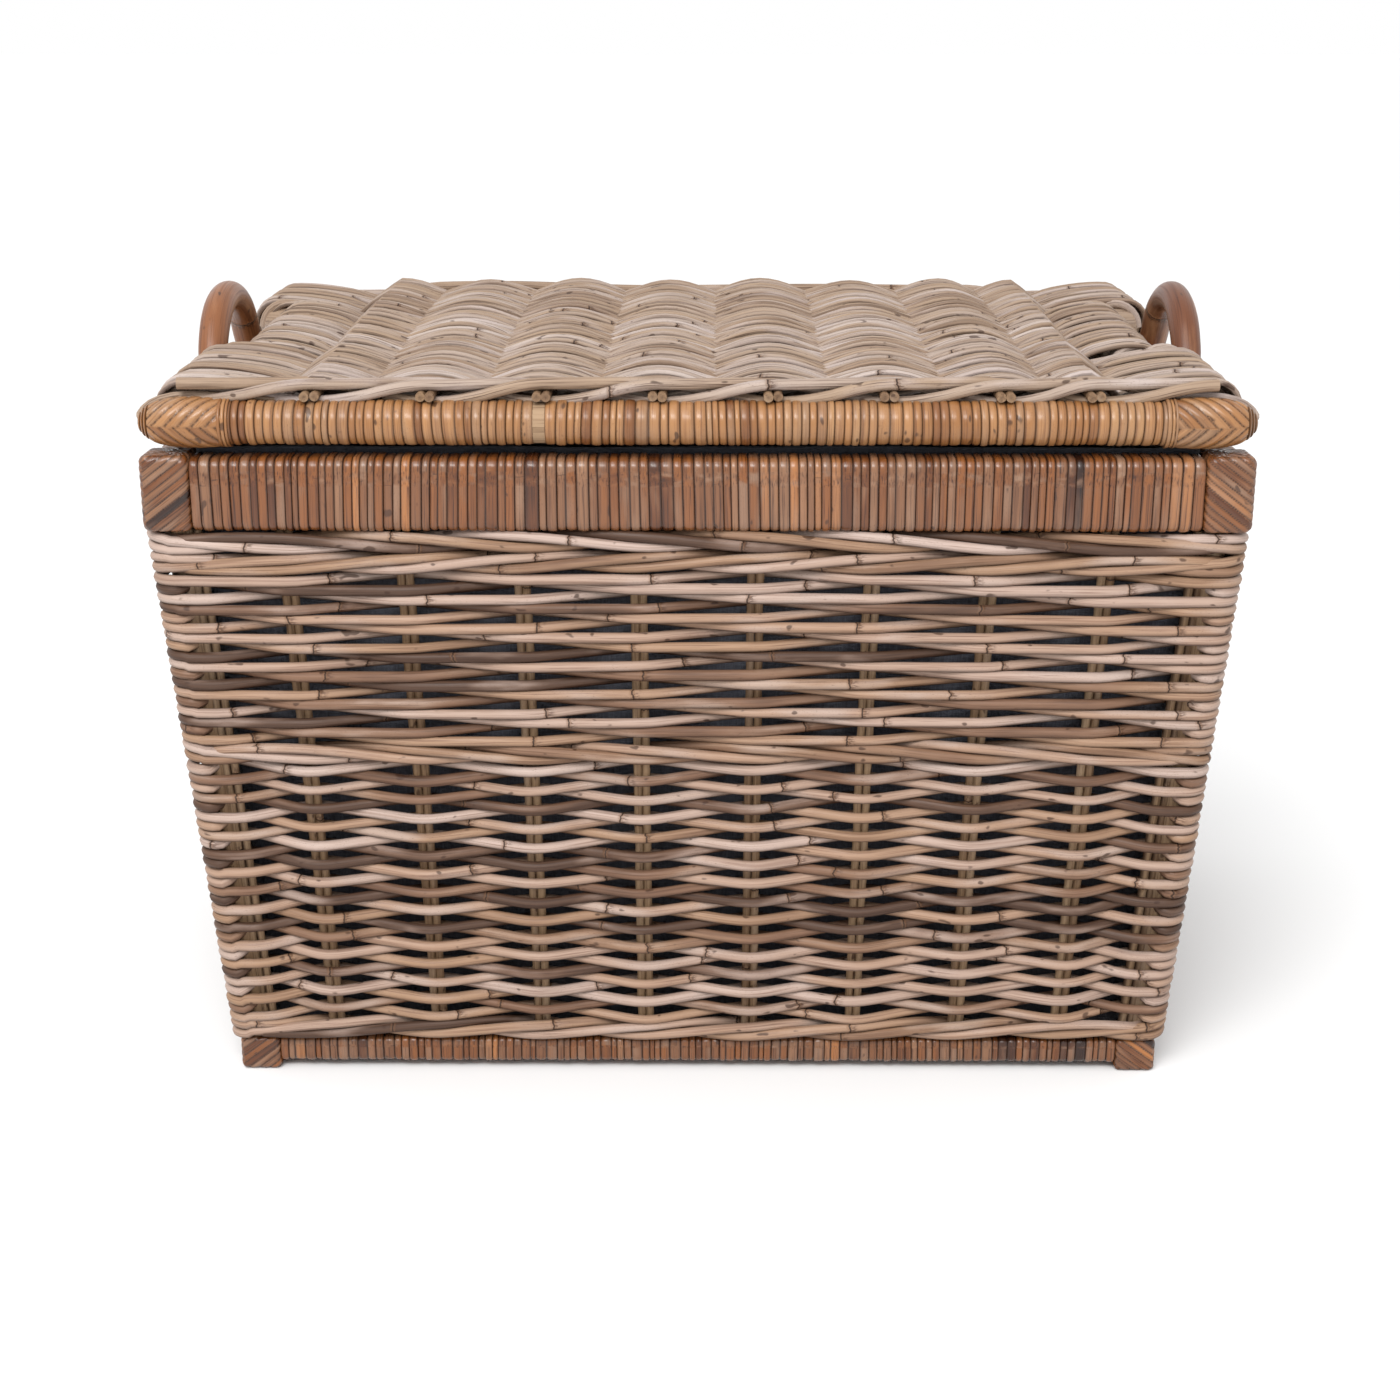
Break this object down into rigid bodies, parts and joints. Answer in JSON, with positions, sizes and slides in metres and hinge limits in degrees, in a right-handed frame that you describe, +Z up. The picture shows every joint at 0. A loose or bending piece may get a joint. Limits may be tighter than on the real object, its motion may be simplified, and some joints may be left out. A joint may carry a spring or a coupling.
{
  "type": "laundry hamper with lid",
  "caption": "Rectangular woven rattan hamper that tapers to its wrapped base, with a fabric liner, fixed cane handles on a wrapped rim and a woven lid hinged at the back.",
  "frame": {"origin": "middle of the whole object's box, on the surface that it stands on", "axes": "+Z up, +X to the right along the hamper's length, +Y from the front towards the hinged back"},
  "size_m": [0.705, 0.4932, 0.524],
  "materials": {
    "weave": "matte weathered rattan strands",
    "core": "matte rattan rods",
    "peel": "satin rattan peel binding",
    "cane": "satin peeled cane",
    "cotton": "plain woven cotton"
  },
  "bodies": {
    "basket": {"base_rail_front": "peel", "base_rail_back": "peel", "base_rail_left": "peel", "base_rail_right": "peel", "base_foot_front_left": "peel", "base_foot_front_right": "peel", "base_foot_back_left": "peel", "base_foot_back_right": "peel", "base_panel": "weave", "corner_post_front_left": "core", "corner_post_front_right": "core", "corner_post_back_left": "core", "corner_post_back_right": "core", "stake_pair_1": "core", "stake_pair_2": "core", "stake_pair_3": "core", "stake_pair_4": "core", "stake_pair_5": "core", "stake_pair_6": "core", "stake_pair_7": "core", "stake_pair_8": "core", "wall_front": "weave", "wall_back": "weave", "wall_left": "weave", "wall_right": "weave", "rim_front": "peel", "rim_back": "peel", "rim_left": "peel", "rim_right": "peel", "rim_corner_front_left": "peel", "rim_corner_front_right": "peel", "rim_corner_back_left": "peel", "rim_corner_back_right": "peel", "handle_left": "cane", "handle_right": "cane", "handle_binding_left_front": "peel", "handle_binding_left_back": "peel", "handle_binding_right_front": "peel", "handle_binding_right_back": "peel", "liner": "cotton", "hinge_rod": "cane", "hinge_strap_rim_left": "peel", "hinge_strap_rim_right": "peel"},
    "lid": {"lid_rail_front": "peel", "lid_rail_back": "peel", "lid_side_left": "weave", "lid_side_right": "weave", "lid_panel": "weave", "lid_bar_1": "core", "lid_bar_2": "core", "lid_bar_3": "core", "lid_bar_4": "core", "lid_bar_5": "core", "lid_bar_6": "core", "lid_bar_7": "core", "lid_bar_8": "core", "hinge_strap_lid_left": "peel", "hinge_strap_lid_right": "peel"}
  },
  "joints": [
    {"name": "lid_hinge", "type": "hinge", "parent": "basket", "child": "lid", "pos_m": [0, 0.2409, 0.4452], "axis": [-1, 0, 0], "range_deg": [0, 105]}
  ]
}
